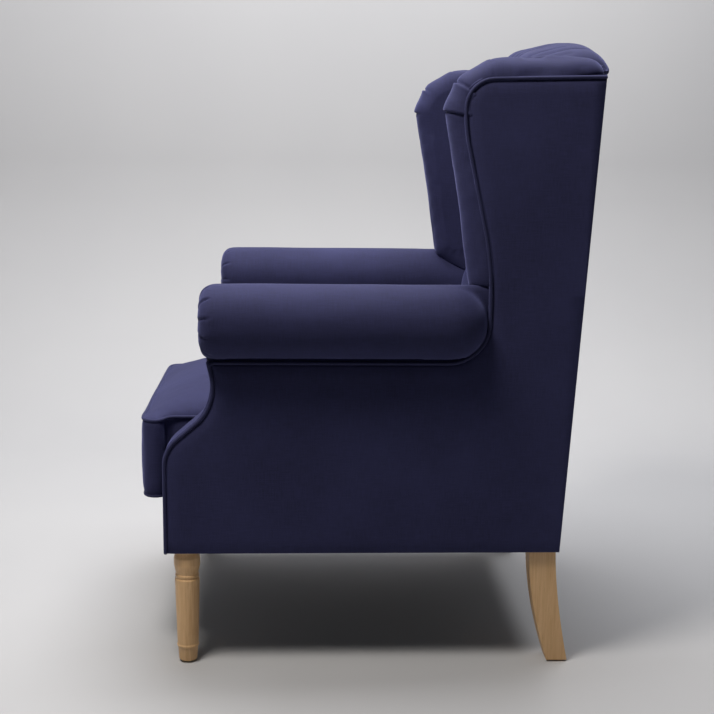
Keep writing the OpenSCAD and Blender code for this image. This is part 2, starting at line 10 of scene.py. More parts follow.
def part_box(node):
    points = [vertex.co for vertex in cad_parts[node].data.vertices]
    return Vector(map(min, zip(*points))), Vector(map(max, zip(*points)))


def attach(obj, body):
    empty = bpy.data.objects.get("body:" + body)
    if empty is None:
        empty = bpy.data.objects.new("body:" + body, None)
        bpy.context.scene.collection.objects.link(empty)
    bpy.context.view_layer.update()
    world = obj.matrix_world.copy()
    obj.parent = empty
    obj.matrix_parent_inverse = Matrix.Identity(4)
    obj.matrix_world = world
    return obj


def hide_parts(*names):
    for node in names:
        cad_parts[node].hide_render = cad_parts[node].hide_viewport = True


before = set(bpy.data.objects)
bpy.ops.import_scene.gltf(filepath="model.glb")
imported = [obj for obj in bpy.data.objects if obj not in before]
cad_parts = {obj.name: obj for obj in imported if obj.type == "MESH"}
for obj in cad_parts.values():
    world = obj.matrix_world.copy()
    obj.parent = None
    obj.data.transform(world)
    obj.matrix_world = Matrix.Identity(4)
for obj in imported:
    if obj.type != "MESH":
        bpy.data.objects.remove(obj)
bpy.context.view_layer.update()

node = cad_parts


# ---- Studio ----
# A pale seamless floor that curves up into a pale wall, which a camera behind it looks
# through, a soft lamp overhead, a weaker one at the side, and one that lights the wall.
def linear(hex_code):
    """sRGB hex to linear RGBA."""
    rgb = [int(hex_code[k:k + 2], 16) / 255 for k in (1, 3, 5)]
    return [c / 12.92 if c <= 0.04045 else ((c + 0.055) / 1.055) ** 2.4 for c in rgb] + [1.0]


def add(material, kind, inputs=None, **settings):
    """One more node in a material, with its settings, its values and its links."""
    made = material.node_tree.nodes.new(kind)
    for key, value in settings.items():
        setattr(made, key, value)
    for key, value in (inputs or {}).items():
        if isinstance(value, bpy.types.NodeSocket):
            material.node_tree.links.new(value, made.inputs[key])
        else:
            made.inputs[key].default_value = value
    return made


def blank(name):
    """A new material with an empty node tree."""
    material = bpy.data.materials.new(name)
    material.use_nodes = True
    material.node_tree.nodes.clear()
    return material


def surface(material, **inputs):
    """Ends a material in its shader. Keywords are socket names, with _ for a space."""
    shader = add(material, "ShaderNodeBsdfPrincipled", {k.replace("_", " "): v for k, v in inputs.items()})
    add(material, "ShaderNodeOutputMaterial", {"Surface": shader.outputs[0]})
    return material


def to_object(name, bm, smooth=True):
    """A finished bmesh becomes an object in the scene."""
    mesh = bpy.data.meshes.new(name)
    bm.to_mesh(mesh)
    bm.free()
    made = bpy.data.objects.new(name, mesh)
    bpy.context.scene.collection.objects.link(made)
    if smooth:
        mesh.shade_smooth()
    return made


plaster = blank("pale_plaster")
at = add(plaster, "ShaderNodeTexCoord").outputs["Object"]
mottle = add(plaster, "ShaderNodeTexNoise", {"Vector": at, "Scale": 1.3, "Detail": 3.0}).outputs["Fac"]
tone = add(plaster, "ShaderNodeMix", {"Factor": mottle, "A": linear("#a6a6a9"), "B": linear("#b0b0b2")},
           data_type="RGBA").outputs["Result"]
wall = add(plaster, "ShaderNodeBsdfPrincipled", {"Base Color": tone, "Roughness": 0.9}).outputs[0]
back_face = add(plaster, "ShaderNodeNewGeometry").outputs["Backfacing"]
from_camera = add(plaster, "ShaderNodeLightPath").outputs["Is Camera Ray"]
behind = add(plaster, "ShaderNodeMath", {0: back_face, 1: from_camera}, operation="MULTIPLY").outputs[0]
clear = add(plaster, "ShaderNodeBsdfTransparent").outputs[0]
one_sided = add(plaster, "ShaderNodeMixShader", {0: behind, 1: wall, 2: clear}).outputs[0]
add(plaster, "ShaderNodeOutputMaterial", {"Surface": one_sided})
wall_x, sweep_r, wall_top, floor_end, half_wide = -1.9, 0.8, 4.2, 3.6, 5
bm = bmesh.new()
floor_path = [Vector((floor_end, 0, 0)), Vector((wall_x + sweep_r, 0, 0))]
floor_path += [Vector((wall_x + sweep_r * (1 - math.sin(a)), 0, sweep_r * (1 - math.cos(a))))
               for a in [math.radians(9 * k) for k in range(1, 11)]]
floor_path += [Vector((wall_x, 0, wall_top))]
row = [bm.verts.new(p + Vector((0, -half_wide, 0))) for p in floor_path]
edges = [bm.edges.new(pair) for pair in zip(row, row[1:])]
wide = bmesh.ops.extrude_edge_only(bm, edges=edges)["geom"]
bmesh.ops.translate(bm, verts=[g for g in wide if isinstance(g, bmesh.types.BMVert)],
                     vec=(0, 2 * half_wide, 0))
bmesh.ops.recalc_face_normals(bm, faces=bm.faces)
bmesh.ops.reverse_faces(bm, faces=bm.faces)
backdrop = to_object("backdrop", bm)
backdrop.data.materials.append(plaster)


def soft_lamp(name, place, aim, side, watts, tint="#ffffff"):
    """A square lamp of the given side, at place, pointing at aim."""
    lamp = bpy.data.lights.new(name, "AREA")
    lamp.size, lamp.energy, lamp.color = side, watts, linear(tint)[:3]
    made = bpy.data.objects.new(name, lamp)
    made.location = place
    made.rotation_euler = (Vector(aim) - Vector(place)).to_track_quat("-Z", "Y").to_euler()
    bpy.context.scene.collection.objects.link(made)


soft_lamp("lamp_over", (0.85, -0.70, 2.4), (0, 0, 0.4), 0.6, 46, "#fffaf2")
soft_lamp("lamp_side", (2.7, -0.6, 1.7), (0, 0, 0.5), 1.6, 1)
soft_lamp("lamp_wall", (-0.7, 0.1, 3.4), (-1.9, 0, 1.2), 2.2, 160)
world = bpy.data.worlds.new("room")
world.use_nodes = True
world.node_tree.nodes["Background"].inputs["Color"].default_value = linear("#dfe3ea")
world.node_tree.nodes["Background"].inputs["Strength"].default_value = 0.06
bpy.context.scene.world = world
bpy.context.scene.view_settings.view_transform = "Standard"

camera = bpy.data.objects.new("camera", bpy.data.cameras.new("camera"))
camera.data.lens = 63.0
eye = (2.3523, -0.1163, 0.9345)
pitch, yaw, roll = 0.1875, -0.0452, 0.0115
ahead = Vector((-math.cos(pitch) * math.cos(yaw), -math.cos(pitch) * math.sin(yaw), -math.sin(pitch)))
right = ahead.cross(Vector((0, 0, 1))).normalized()
up = right.cross(ahead)
right, up = (math.cos(roll) * right + math.sin(roll) * up, math.cos(roll) * up - math.sin(roll) * right)
camera.matrix_world = Matrix.Translation(eye) @ Matrix((right, up, -ahead)).transposed().to_4x4()
bpy.context.scene.collection.objects.link(camera)
bpy.context.scene.camera = camera

# ---- Frame ----
# Kiln-dried beech, sawn square and planed, held with countersunk screws and glued corner
# blocks. All of it is under the upholstery. Sawn wood is pale, dry and lightly streaked.


def wood(name, light, dark, pore, along, rough, ring=9.0):
    """Straight-grained wood, with its grain along one axis (0 is X, 1 is Y, 2 is Z)."""
    material = blank(name)
    place = add(material, "ShaderNodeTexCoord").outputs["Object"]
    stretch = [1.0, 1.0, 1.0]
    stretch[along] = 0.045
    grain_at = add(material, "ShaderNodeMapping", {"Vector": place, "Scale": stretch}).outputs[0]
    wander = add(material, "ShaderNodeTexNoise",
                 {"Vector": grain_at, "Scale": ring, "Detail": 4.0, "Distortion": 0.6}).outputs["Fac"]
    rings = add(material, "ShaderNodeTexNoise",
                {"Vector": grain_at, "Scale": 150.0, "Detail": 6.0, "Roughness": 0.65,
                 "Distortion": 1.2}).outputs["Fac"]
    fine = add(material, "ShaderNodeTexNoise",
               {"Vector": grain_at, "Scale": 620.0, "Detail": 3.0, "Roughness": 0.7}).outputs["Fac"]
    figure = add(material, "ShaderNodeMath", {0: wander, 1: rings}, operation="ADD").outputs[0]
    ramp = add(material, "ShaderNodeMapRange",
               {"Value": figure, "From Min": 0.72, "From Max": 1.28}).outputs["Result"]
    colour = add(material, "ShaderNodeMix", {"Factor": ramp, "A": linear(dark), "B": linear(light)},
                 data_type="RGBA").outputs["Result"]
    pits = add(material, "ShaderNodeMapRange",
               {"Value": fine, "From Min": 0.60, "From Max": 0.72}).outputs["Result"]
    shade = add(material, "ShaderNodeMath", {0: pits, 1: 0.45}, operation="MULTIPLY").outputs[0]
    colour = add(material, "ShaderNodeMix", {"Factor": shade, "A": colour, "B": linear(pore)},
                 data_type="RGBA").outputs["Result"]
    relief = add(material, "ShaderNodeMath", {0: rings, 1: pits}, operation="SUBTRACT").outputs[0]
    bump = add(material, "ShaderNodeBump", {"Height": relief, "Strength": 0.18, "Distance": 0.0006})
    gloss = add(material, "ShaderNodeMapRange", {"Value": rings, "To Min": rough - 0.06,
                                                 "To Max": rough + 0.1}).outputs["Result"]
    return surface(material, Base_Color=colour, Roughness=gloss, Normal=bump.outputs[0])


beech = {axis: wood("sawn_beech_" + "xyz"[axis], "#d8b98c", "#c19b6b", "#a07c50", axis, 0.72)
         for axis in (0, 1, 2)}


def dress(name, material):
    """Gives a CAD node its material."""
    node[name].data.materials.clear()
    node[name].data.materials.append(material)


SIDES = {"left": -1, "right": 1}
for name in ("front_seat_rail", "rear_seat_rail", "crest_rail", "lumbar_rail", "corner_blocks"):
    dress(name, beech[0])
for side in SIDES:
    dress("side_seat_rail_" + side, beech[1])
    dress("arm_rail_" + side, beech[1])
    for name in ("front_post_", "back_post_", "wing_frame_"):
        dress(name + side, beech[2])

# ---- Screws, bolts and springs ----
# Zinc-plated screws and hanger bolts, and zig-zag springs of bright drawn steel wire in
# folded clips. Drawn wire and plating are fairly smooth and even, with faint scratches.
zinc = blank("zinc_plated_steel")
place = add(zinc, "ShaderNodeTexCoord").outputs["Object"]
cloud = add(zinc, "ShaderNodeTexNoise", {"Vector": place, "Scale": 260.0, "Detail": 4.0}).outputs["Fac"]
shine = add(zinc, "ShaderNodeMapRange", {"Value": cloud, "To Min": 0.26, "To Max": 0.46}).outputs["Result"]
tone = add(zinc, "ShaderNodeMix", {"Factor": cloud, "A": linear("#a9abb0"), "B": linear("#c6c8cb")},
           data_type="RGBA").outputs["Result"]
rub = add(zinc, "ShaderNodeBump", {"Height": cloud, "Strength": 0.08, "Distance": 0.0002})
surface(zinc, Base_Color=tone, Metallic=1.0, Roughness=shine, Normal=rub.outputs[0])
for name in ("frame_screws", "leg_bolts", "seat_springs", "spring_clips"):
    dress(name, zinc)

# ---- Glides, felt and webbing ----
# Moulded nylon glides are nailed under the legs. A needled felt pad lies on the springs,
# elastic webbing is stapled up the back, and a spun dust cover closes the underside.
nylon = blank("black_nylon")
place = add(nylon, "ShaderNodeTexCoord").outputs["Object"]
grit = add(nylon, "ShaderNodeTexNoise", {"Vector": place, "Scale": 900.0}).outputs["Fac"]
tone = add(nylon, "ShaderNodeMix", {"Factor": grit, "A": linear("#161616"), "B": linear("#232323")},
           data_type="RGBA").outputs["Result"]
scuff = add(nylon, "ShaderNodeBump", {"Height": grit, "Strength": 0.1, "Distance": 0.0002})
surface(nylon, Base_Color=tone, Roughness=0.55, Normal=scuff.outputs[0])
dress("leg_glides", nylon)

felt = blank("needled_felt")
place = add(felt, "ShaderNodeTexCoord").outputs["Object"]
fibre = add(felt, "ShaderNodeTexNoise",
            {"Vector": place, "Scale": 420.0, "Detail": 8.0, "Roughness": 0.8}).outputs["Fac"]
tone = add(felt, "ShaderNodeMix", {"Factor": fibre, "A": linear("#5d5b55"), "B": linear("#a29e94")},
           data_type="RGBA").outputs["Result"]
nap = add(felt, "ShaderNodeBump", {"Height": fibre, "Strength": 0.5, "Distance": 0.001})
surface(felt, Base_Color=tone, Roughness=0.95, Normal=nap.outputs[0])
dress("spring_pad", felt)

# Black spun cloth under the seat and woven elastic behind the back: threads 1 mm apart.
black_cloth = blank("black_spun_cloth")
place = add(black_cloth, "ShaderNodeTexCoord").outputs["Object"]
lie = add(black_cloth, "ShaderNodeVectorMath", {0: place, "Scale": 1000.0}, operation="SCALE").outputs[0]
check = add(black_cloth, "ShaderNodeTexChecker", {"Vector": lie, "Scale": 1.0}).outputs["Fac"]
haze = add(black_cloth, "ShaderNodeTexNoise", {"Vector": place, "Scale": 60.0, "Detail": 5.0}).outputs["Fac"]
mixed = add(black_cloth, "ShaderNodeMath", {0: check, 1: haze}, operation="MULTIPLY").outputs[0]
tone = add(black_cloth, "ShaderNodeMix", {"Factor": mixed, "A": linear("#141416"), "B": linear("#2a2a2d")},
           data_type="RGBA").outputs["Result"]
cords = add(black_cloth, "ShaderNodeBump", {"Height": mixed, "Strength": 0.25, "Distance": 0.0005})
surface(black_cloth, Base_Color=tone, Roughness=0.9, Normal=cords.outputs[0])
for name in ("dust_cover", "back_webbing"):
    dress(name, black_cloth)

# ---- Legs ----
# The front legs are turned from pale oak, with a bulb, two beads and a tapered shaft; the
# rear legs are sawn from oak plank in a backward curve. A clear matt oil leaves them pale.
oak = wood("oiled_oak", "#e2bd90", "#c59a68", "#94703f", 2, 0.5, 14.0)
for side in SIDES:
    dress("front_leg_" + side, oak)
    dress("rear_leg_" + side, oak)

# ---- Cover cloth ----
# A plain-weave navy furnishing cloth of mixed thick and thin yarns, with a faint bloom on
# top. Its threads are 0.8 mm apart; they are drawn 1.5 mm apart so that they show.
thread = 0.0015


def woven(name, deep, mid, pale):
    """Plain-weave cloth: uneven yarns over and under, between two tones, paler on convex edges and crests, a
    painted highlight with some rub wear.
    """
    material = blank(name)
    lay = add(material, "ShaderNodeUVMap", uv_map="weave").outputs[0]
    cell = add(material, "ShaderNodeVectorMath", {0: lay, "Scale": 1 / thread}, operation="SCALE").outputs[0]
    part = add(material, "ShaderNodeSeparateXYZ", {0: cell})
    over_u = add(material, "ShaderNodeMath", {0: part.outputs[0], 1: 0.5}, operation="PINGPONG").outputs[0]
    over_v = add(material, "ShaderNodeMath", {0: part.outputs[1], 1: 0.5}, operation="PINGPONG").outputs[0]
    nubs = add(material, "ShaderNodeMath", {0: over_u, 1: over_v}, operation="MULTIPLY").outputs[0]
    checks = add(material, "ShaderNodeTexChecker", {"Vector": cell, "Scale": 1.0}).outputs["Fac"]
    along = add(material, "ShaderNodeMapping", {"Vector": cell, "Scale": (0.9, 0.06, 1.0)}).outputs[0]
    across = add(material, "ShaderNodeMapping", {"Vector": cell, "Scale": (0.06, 0.9, 1.0)}).outputs[0]
    warp = add(material, "ShaderNodeTexNoise", {"Vector": along, "Scale": 1.0, "Detail": 2.0}).outputs["Fac"]
    weft = add(material, "ShaderNodeTexNoise", {"Vector": across, "Scale": 1.0, "Detail": 2.0}).outputs["Fac"]
    yarn = add(material, "ShaderNodeMix", {"Factor": checks, "A": warp, "B": weft}).outputs["Result"]
    level = add(material, "ShaderNodeMapRange",
                {"Value": yarn, "From Min": 0.3, "From Max": 0.7}).outputs["Result"]
    colour = add(material, "ShaderNodeMix", {"Factor": level, "A": linear(deep), "B": linear(mid)},
                 data_type="RGBA").outputs["Result"]
    spot = add(material, "ShaderNodeTexCoord").outputs["Object"]
    cloud = add(material, "ShaderNodeTexNoise", {"Vector": spot, "Scale": 7.0, "Detail": 4.0}).outputs["Fac"]
    bloom = add(material, "ShaderNodeMapRange", {"Value": cloud, "From Min": 0.35, "From Max": 0.75,
                                                 "To Max": 0.35}).outputs["Result"]
    colour = add(material, "ShaderNodeMix", {"Factor": bloom, "A": colour, "B": linear(pale)},
                 data_type="RGBA").outputs["Result"]
    # Convex edges and crests are mixed towards the pale tone: painted highlight, with some rub wear.
    crest_pointiness = add(material, "ShaderNodeNewGeometry").outputs["Pointiness"]
    crest_highlight_and_wear = add(material, "ShaderNodeMapRange", {"Value": crest_pointiness, "From Min": 0.5, "From Max": 0.6,
                                                  "To Max": 0.3}).outputs["Result"]
    colour = add(material, "ShaderNodeMix", {"Factor": crest_highlight_and_wear, "A": colour, "B": linear(pale)},
                 data_type="RGBA").outputs["Result"]
    height = add(material, "ShaderNodeMath", {0: yarn, 1: 0.25, 2: nubs}, operation="MULTIPLY_ADD").outputs[0]
    bump = add(material, "ShaderNodeBump", {"Height": height, "Strength": 0.55, "Distance": 0.0009})
    rough = add(material, "ShaderNodeMapRange",
                {"Value": yarn, "To Min": 0.78, "To Max": 0.95}).outputs["Result"]
    return surface(material, Base_Color=colour, Roughness=rough, Normal=bump.outputs[0],
                   Sheen_Weight=0.34, Sheen_Roughness=0.45, Sheen_Tint=linear("#8f93d6"),
                   Specular_IOR_Level=0.25)


navy = woven("navy_furnishing_cloth", "#1b1c38", "#292a4d", "#33355c")
# The piping copy is the same cloth painted darker: painted shade for the shadows along the seams on each side
# of the cord.
navy_cord_shaded = woven("navy_piping_cloth_painted_shade", "#181932", "#252645", "#2f3156")


def lay_weave(piece):
    """A box-projected map in metres, so that the threads run level and plumb on every side."""
    mesh = piece.data
    uv = mesh.uv_layers.new(name="weave")
    count = len(mesh.loops)
    spots = np.empty(len(mesh.vertices) * 3)
    mesh.vertices.foreach_get("co", spots)
    index = np.empty(count, int)
    mesh.loops.foreach_get("vertex_index", index)
    facing = np.empty(len(mesh.polygons) * 3)
    mesh.polygons.foreach_get("normal", facing)
    sizes = np.empty(len(mesh.polygons), int)
    mesh.polygons.foreach_get("loop_total", sizes)
    axis = np.abs(facing.reshape(-1, 3)).argmax(1).repeat(sizes)
    spots = spots.reshape(-1, 3)[index]
    first, second = np.array([1, 0, 0])[axis], np.array([2, 2, 1])[axis]
    rows = np.arange(count)
    flat = np.stack([spots[rows, first], spots[rows, second]], 1)
    uv.data.foreach_set("uv", flat.ravel())


def cover(piece, stands_for, body="root", cloth=None):
    """Gives a cloth piece its weave, its body and the CAD nodes it stands for."""
    lay_weave(piece)
    piece.data.materials.append(cloth or navy)
    piece.data.shade_smooth()
    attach(piece, body)
    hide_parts(*stands_for)
    return piece


def outline(corners, segments=8):
    """(u, v, radius) corners become points with each corner rounded to an arc."""
    bm = bmesh.new()
    verts = [bm.verts.new((u, v, 0)) for u, v, r in corners]
    bm.faces.new(verts)
    for k, (u, v, r) in enumerate(corners):
        if r:
            here = verts[k].co.copy()
            ends = [(Vector((*corners[j % len(corners)][:2], 0)) - here).normalized() for j in (k - 1, k + 1)]
            reach = r / math.tan(ends[0].angle(ends[1]) / 2)
            bmesh.ops.bevel(bm, geom=[verts[k]], offset=reach, offset_type="OFFSET", segments=segments,
                            profile=0.5, affect="VERTICES", material=-1, clamp_overlap=False)
    bm.faces.ensure_lookup_table()
    points = [loop.vert.co.to_2d() for loop in bm.faces[0].loops]
    bm.free()
    start = min(range(len(points)), key=lambda k: (points[k] - Vector(corners[0][:2])).length)
    return points[start:] + points[:start]


def even(points, step, closed=False):
    """The same path with points an even step apart."""
    path = list(points) + ([points[0]] if closed else [])
    run = [0.0]
    for a, b in zip(path, path[1:]):
        run.append(run[-1] + (b - a).length)
    count = max(2, round(run[-1] / step))
    marks = np.linspace(0, run[-1], count + 1)[:count + (0 if closed else 1)]
    dims = range(len(path[0]))
    columns = [np.interp(marks, run, [p[d] for p in path]) for d in dims]
    return [Vector(values) for values in zip(*columns)]


def flat_face(bm, points, depth, plane="x"):
    """A face with the outline's points, in the plane across X or across Z at depth."""
    spot = (lambda p: (depth, p[0], p[1])) if plane == "x" else (lambda p: (p[0], p[1], depth))
    return bm.faces.new([bm.verts.new(spot(p)) for p in points])


def thick(bm, face, move):
    """Extrudes a face along move into a closed block."""
    grown = bmesh.ops.extrude_face_region(bm, geom=[face], use_keep_orig=True)["geom"]
    bmesh.ops.translate(bm, verts=[g for g in grown if isinstance(g, bmesh.types.BMVert)], vec=move)
    bmesh.ops.recalc_face_normals(bm, faces=bm.faces)
    return [g for g in grown if isinstance(g, bmesh.types.BMFace)][0]


def bake(piece):
    """Applies a piece's modifiers."""
    graph = bpy.context.evaluated_depsgraph_get()
    mesh = bpy.data.meshes.new_from_object(piece.evaluated_get(graph))
    piece.modifiers.clear()
    old, piece.data = piece.data, mesh
    bpy.data.meshes.remove(old)
    mesh.name = piece.name


def remesh(piece, size):
    """Voxel remesh, applied, so that overlapping closed blocks become one skin."""
    modifier = piece.modifiers.new("remesh", "REMESH")
    modifier.mode, modifier.voxel_size = "VOXEL", size
    bake(piece)


def smooth(piece, times, factor=0.5):
    """Relaxes every point towards its neighbours."""
    bm = bmesh.new()
    bm.from_mesh(piece.data)
    for _ in range(times):
        bmesh.ops.smooth_vert(bm, verts=bm.verts, factor=factor, use_axis_x=True, use_axis_y=True,
                              use_axis_z=True)
    bm.to_mesh(piece.data)
    bm.free()


def points_of(mesh):
    """The mesh's points, as rows of an array."""
    spots = np.empty(len(mesh.vertices) * 3)
    mesh.vertices.foreach_get("co", spots)
    return spots.reshape(-1, 3)


def put_points(mesh, spots):
    """Writes an array of points back to the mesh."""
    mesh.vertices.foreach_set("co", np.ascontiguousarray(spots, dtype=float).ravel())
    mesh.update()


def normals_of(mesh):
    """The mesh's point normals, as rows of an array."""
    ways = np.empty(len(mesh.vertices) * 3)
    mesh.vertex_normals.foreach_get("vector", ways)
    return ways.reshape(-1, 3)


def swell(piece, pressure, cap, hold=None, frames=20):
    """Blows the piece up as cloth. cap is the furthest a point may move, hold how firmly it is pinned."""
    before = points_of(piece.data)
    modifier = piece.modifiers.new("cloth", "CLOTH")
    setup = modifier.settings
    setup.use_pressure, setup.uniform_pressure_force = True, pressure
    setup.effector_weights.gravity = 0
    setup.tension_stiffness = setup.compression_stiffness = 18
    setup.bending_stiffness = 0.6
    if hold is not None:
        group = piece.vertex_groups.new(name="hold")
        for k, weight in enumerate(hold):
            if weight > 0:
                group.add([k], float(weight), "REPLACE")
        setup.vertex_group_mass = "hold"
    modifier.point_cache.frame_start, modifier.point_cache.frame_end = 1, frames
    scene = bpy.context.scene
    for k in range(1, frames + 1):
        scene.frame_set(k)
    graph = bpy.context.evaluated_depsgraph_get()
    blown = points_of(piece.evaluated_get(graph).data)
    piece.modifiers.clear()
    piece.vertex_groups.clear()
    scene.frame_set(1)
    move = blown - before
    length = np.linalg.norm(move, axis=1, keepdims=True) + 1e-9
    limit = np.asarray(cap).reshape(-1, 1) if np.ndim(cap) else cap
    put_points(piece.data, before + move / length * limit * np.tanh(length / limit))


def finer(piece):
    """One level of subdivision, applied."""
    modifier = piece.modifiers.new("finer", "SUBSURF")
    modifier.levels = modifier.render_levels = 1
    bake(piece)


def step_up(values, low, high):
    """0 below low, 1 above high, and a smooth step between."""
    t = np.clip((values - low) / (high - low), 0, 1)
    return t * t * (3 - 2 * t)


def ripple(spots, size, seed):
    """Smooth seeded noise from -1 to 1 at each point, with bumps about size metres across."""
    shift = Vector((seed * 7.3, seed * 3.1, seed * 5.7))
    return np.array([noise.noise(Vector(p) / size + shift) for p in spots])


def cord_along(name, path, radius, closed=False):
    """A round cord of cloth along a path, as a mesh."""
    curve = bpy.data.curves.new(name, "CURVE")
    curve.dimensions = "3D"
    curve.bevel_depth, curve.bevel_resolution, curve.use_fill_caps = radius, 3, True
    line = curve.splines.new("POLY")
    line.points.add(len(path) - 1)
    for point, spot in zip(line.points, path):
        point.co = (*spot, 1)
    line.use_cyclic_u = closed
    shell = bpy.data.objects.new(name, curve)
    bpy.context.scene.collection.objects.link(shell)
    mesh = bpy.data.meshes.new_from_object(shell.evaluated_get(bpy.context.evaluated_depsgraph_get()))
    bpy.data.objects.remove(shell)
    mesh.name = name
    made = bpy.data.objects.new(name, mesh)
    bpy.context.scene.collection.objects.link(made)
    return made


# ---- Seat cushion ----
# A loose T-shaped box cushion: foam in a cloth cover, a crowned top panel and a flat bottom
# panel sewn to a border, with a piping cord in both seams and a zip along the rear border.
top_low, top_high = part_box("cushion_piping_top")
low_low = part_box("cushion_piping_bottom")[0]
cover_low, cover_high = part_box("cushion_cover")
pipe_r = (top_high.z - top_low.z) / 2
seam_top, seam_low = top_high.z - pipe_r, low_low.z + pipe_r
ear_x, cush_front, cush_rear = top_high.x, top_low.y, top_high.y
crown = cover_high.z - top_high.z
x_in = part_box("wing_pad_right")[0].x
y_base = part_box("arm_facing_right")[0].y
body_x, ear_y = x_in - 0.003, y_base - 0.002
border_in = pipe_r * 1.35
body_gap, rear_gap = 0.0002, 0.0005
bulge_most = 0.0062


def t_shape(inset):
    """The cushion's T outline, a body between the arms and ears in front of them."""
    half = [(ear_x - inset, cush_front + inset, 0.028 - inset),
            (ear_x - inset, ear_y - inset, 0.010 - inset / 2),
            (body_x - inset, ear_y - inset, 0.006), (body_x - inset, cush_rear - inset, 0.024 - inset)]
    return half + [(-x, y, r) for x, y, r in reversed(half)]


def gap_to(line, u, v, closed=False):
    """How far each (u, v) is from a line of points."""
    ends = list(line) + ([line[0]] if closed else [])
    best = np.full(len(u), 9.0)
    for a, b in zip(ends, ends[1:]):
        du, dv = b[0] - a[0], b[1] - a[1]
        t = np.clip(((u - a[0]) * du + (v - a[1]) * dv) / (du * du + dv * dv + 1e-12), 0, 1)
        best = np.minimum(best, np.hypot(u - a[0] - t * du, v - a[1] - t * dv))
    return best


def on_skin(piece, path, lift):
    """Moves a ring of points to stand a little off the nearest skin of a piece, then evens it."""
    mesh = piece.data
    tree = BVHTree.FromPolygons([v.co for v in mesh.vertices], [p.vertices for p in mesh.polygons])
    ring = []
    for p in path:
        near, way = tree.find_nearest(p)[:2]
        off = p - near
        ring.append(near + (off.normalized() if off.dot(way) > 0 and off.length > 1e-5 else way) * lift)
    for _ in range(4):
        ring = [(ring[k - 1] + ring[k] * 2 + ring[(k + 1) % len(ring)]) / 4 for k in range(len(ring))]
    return ring


bm = bmesh.new()
thick(bm, flat_face(bm, outline(t_shape(border_in)), cover_low.z + 0.001, "z"),
      (0, 0, top_high.z - cover_low.z - 0.002))
cushion = to_object("seat_cushion_cover", bm)
remesh(cushion, 0.0088)
smooth(cushion, 2)
spots = points_of(cushion.data)
mid_y, half_y = (cush_front + cush_rear) / 2, (cush_rear - cush_front) / 2
from_rim = gap_to(even(outline(t_shape(border_in)), 0.012, True), spots[:, 0], spots[:, 1], True)
u = np.clip(np.abs(spots[:, 0]) / (ear_x - border_in), 0, 1)
v = np.clip(np.abs(spots[:, 1] - mid_y) / (half_y - border_in), 0, 1)
dome = (1 - u ** 2.2) * (1 - v ** 2.6) + 0.16 * (1 - np.exp(-from_rim / 0.02)) * (1 - u ** 8) * (1 - v ** 8)
on_top = step_up(spots[:, 2], seam_top - 0.02, seam_top)
spots[:, 2] += (crown + 0.004) * dome * on_top
put_points(cushion.data, spots)
near_rim = 1 - step_up(from_rim, 0.004, 0.016)
on_rear = step_up(spots[:, 1], cush_rear - 0.03, cush_rear - 0.012)
on_floor = 1 - step_up(spots[:, 2], seam_low + 0.001, seam_low + 0.010)
at_seam = np.exp(-((spots[:, 2] - seam_top) / 0.008) ** 2) * near_rim
hold = np.clip(on_floor + at_seam + 0.6 * on_rear, 0, 1)
free_top = step_up(spots[:, 2], seam_top + 0.002, seam_top + 0.02)
swell(cushion, 4.5, bulge_most - 0.004 * on_rear + 0.006 * free_top, hold)
finer(cushion)
spots, ways = points_of(cushion.data), normals_of(cushion.data)
spots += ways * (0.0010 * ripple(spots, 0.08, 3) + 0.0004 * ripple(spots, 0.02, 4))[:, None]
spots[:, 2] = np.maximum(spots[:, 2], cover_low.z + 0.0004)
wide = np.where(spots[:, 1] > ear_y - 0.004, body_x - body_gap, ear_x + 0.004)
spots[:, 0] = np.clip(spots[:, 0], -wide, wide)
spots[:, 1] = np.minimum(spots[:, 1], cush_rear - rear_gap)
put_points(cushion.data, spots)
cover(cushion, ["cushion_cover", "cushion_foam"], "seat_cushion")

for name, height in (("cushion_cord_top", seam_top), ("cushion_cord_bottom", seam_low)):
    ring = [Vector((p.x, p.y, height)) for p in even(outline(t_shape(border_in), 6), 0.008, True)]
    cord = cord_along(name, on_skin(cushion, ring, 0.0024), pipe_r, True)
    cover(cord, ["cushion_piping_" + name.rsplit("_", 1)[1]], "seat_cushion", navy_cord_shaded)

# The zip: woven black tape, a row of moulded teeth, a cast slider and its pull.
dark_metal = blank("blackened_zip_metal")
place = add(dark_metal, "ShaderNodeTexCoord").outputs["Object"]
cloud = add(dark_metal, "ShaderNodeTexNoise", {"Vector": place, "Scale": 800.0, "Detail": 3.0}).outputs["Fac"]
shine = add(dark_metal, "ShaderNodeMapRange",
            {"Value": cloud, "To Min": 0.3, "To Max": 0.5}).outputs["Result"]
tone = add(dark_metal, "ShaderNodeMix", {"Factor": cloud, "A": linear("#2b2b30"), "B": linear("#4a4a50")},
           data_type="RGBA").outputs["Result"]
surface(dark_metal, Base_Color=tone, Metallic=0.9, Roughness=shine)
dress("zip_slider", dark_metal)
dress("zip_pull", dark_metal)
dress("cushion_zip", black_cloth)

# ---- Inside back ----
# One padded panel from the seat over the crest, drawn in with covered buttons. The cloth is
# folded into diamonds between the buttons and into straight pleats over the top roll.
pad_low, pad_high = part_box("back_cover")
back_low, back_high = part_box("outside_back")
back_t = 0.0056
rake = math.atan2(back_high.y - back_low.y - back_t, back_high.z - back_low.z)
panel_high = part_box("side_panel_right")[1]
z_panel = panel_high.z + pipe_r + 0.0003
y_top = panel_high.y - 0.122
y_closed = panel_high.y - 0.02
back_w = pad_high.x
puff_high = 0.009
arch_drop, arch_half = 0.030, 0.235
mesh_step = 0.005
section = outline([(pad_low.y, pad_low.z, 0), (y_top, pad_high.z - 0.025, 0.046),
                   (y_top + 0.088, pad_high.z - 0.003, 0.11), (pad_high.y, pad_high.z - 0.005, 0.036),
                   (pad_high.y, z_panel + 0.008, 0.008), (y_closed, z_panel + 0.008, 0),
                   (y_closed, pad_low.z, 0)], 10)
